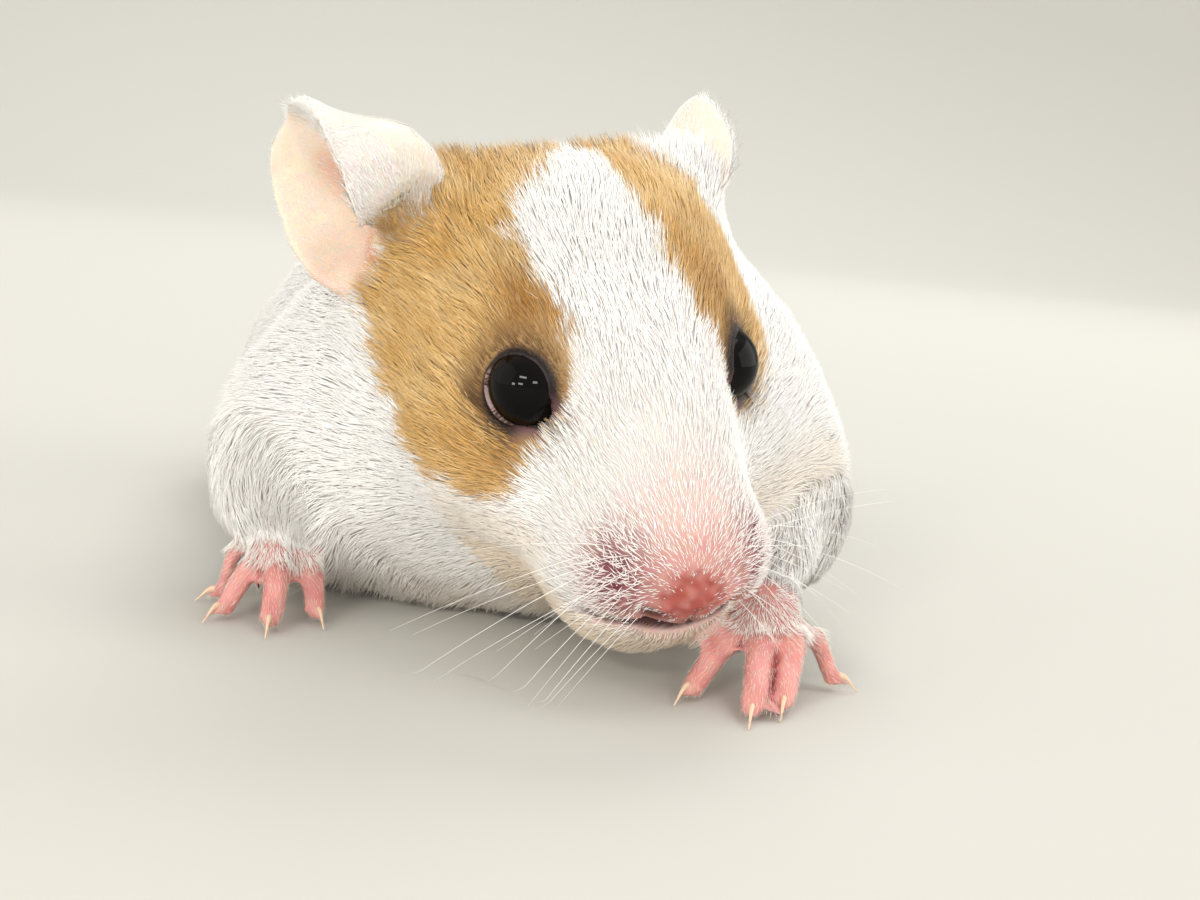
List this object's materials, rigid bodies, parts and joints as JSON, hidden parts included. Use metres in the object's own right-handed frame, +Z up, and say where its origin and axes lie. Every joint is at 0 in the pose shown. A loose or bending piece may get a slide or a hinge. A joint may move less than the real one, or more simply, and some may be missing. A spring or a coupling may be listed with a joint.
{
  "type": "syrian hamster",
  "caption": "Still life-size model of a young Syrian hamster crouching with its chest low and head turned a little left, white with golden patches over the eyes, pink ears, nose and feet.",
  "frame": {"origin": "on the floor, under the middle of the animal's footprint box", "axes": "+Z up, the animal faces -Y, its left side is +X"},
  "size_m": [0.0544, 0.1006, 0.0442],
  "materials": {
    "coat": "soft short fur, white with golden patches on the head",
    "skin": "thin bare pink skin with fine hairs",
    "eye": "wet, glossy black",
    "claw": "pale translucent horn"
  },
  "bodies": {
    "root": {"head": "coat", "lower_jaw": "coat", "nose": "skin", "eye_left": "eye", "eye_right": "eye", "ear_left": "skin", "ear_right": "skin", "neck": "coat", "trunk": "coat", "tail": "skin", "foreleg_left": "coat", "foreleg_right": "coat", "hindleg_left": "coat", "hindleg_right": "coat", "forefoot_left": "skin", "forefoot_right": "skin", "hindfoot_left": "skin", "hindfoot_right": "skin"}
  },
  "joints": []
}
